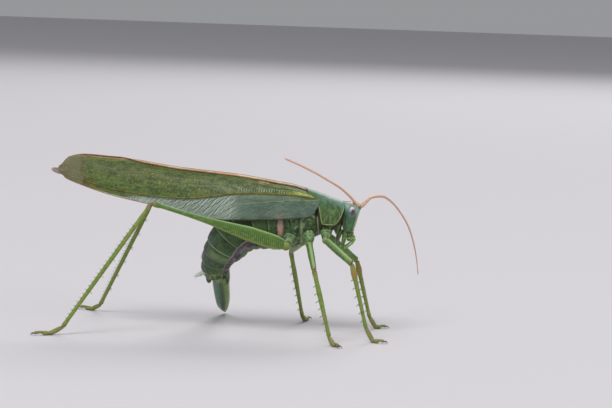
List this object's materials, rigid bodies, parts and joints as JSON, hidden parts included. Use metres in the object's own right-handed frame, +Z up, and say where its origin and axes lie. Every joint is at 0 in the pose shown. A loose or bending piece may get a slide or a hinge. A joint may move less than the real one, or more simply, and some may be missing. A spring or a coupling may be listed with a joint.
{
  "type": "great green bush-cricket",
  "caption": "Life-size female great green bush-cricket, a long-horned grasshopper, standing with folded wings and its abdomen curled down.",
  "frame": {"origin": "on the floor, at the middle of the insect's footprint box", "axes": "+Z up, the head and the longest side along +X, the insect's right side towards -Y"},
  "size_m": [0.0777, 0.054, 0.0357],
  "materials": {
    "body": "satin green cuticle with darker folds",
    "saddle": "satin blue-green cuticle, brown stripe on top, pale yellow rim",
    "wing": "leathery olive-green forewing with a fine net of veins",
    "hindwing": "thin pale pleated membrane",
    "leg": "satin bright green cuticle",
    "foot": "satin green-brown cuticle with soft pads",
    "feeler": "matt orange-brown, finely ringed",
    "eye": "glossy pinkish-grey with a dark false pupil",
    "blade": "polished green blade with pale edges"
  },
  "bodies": {
    "root": {"head": "body", "labrum": "body", "jaws": "body", "prothorax": "saddle", "thorax": "body", "eye_right": "eye", "antenna_right": "feeler", "palp_upper_right": "leg", "palp_lower_right": "leg", "tegmen_right": "wing", "hindwing_right": "hindwing", "eye_left": "eye", "antenna_left": "feeler", "palp_upper_left": "leg", "palp_lower_left": "leg", "tegmen_left": "wing", "hindwing_left": "hindwing", "abdomen_base": "body", "abdomen_middle": "body", "abdomen_tip": "body", "ovipositor": "blade", "cercus_right": "body", "cercus_left": "body", "foreleg_right_coxa": "leg", "foreleg_right_femur": "leg", "foreleg_right_tibia": "leg", "foreleg_right_tarsus": "foot", "foreleg_left_coxa": "leg", "foreleg_left_femur": "leg", "foreleg_left_tibia": "leg", "foreleg_left_tarsus": "foot", "midleg_right_coxa": "leg", "midleg_right_femur": "leg", "midleg_right_tibia": "leg", "midleg_right_tarsus": "foot", "midleg_left_coxa": "leg", "midleg_left_femur": "leg", "midleg_left_tibia": "leg", "midleg_left_tarsus": "foot", "hindleg_right_coxa": "leg", "hindleg_right_femur": "leg", "hindleg_right_tibia": "leg", "hindleg_right_tarsus": "foot", "hindleg_left_coxa": "leg", "hindleg_left_femur": "leg", "hindleg_left_tibia": "leg", "hindleg_left_tarsus": "foot"}
  },
  "joints": []
}
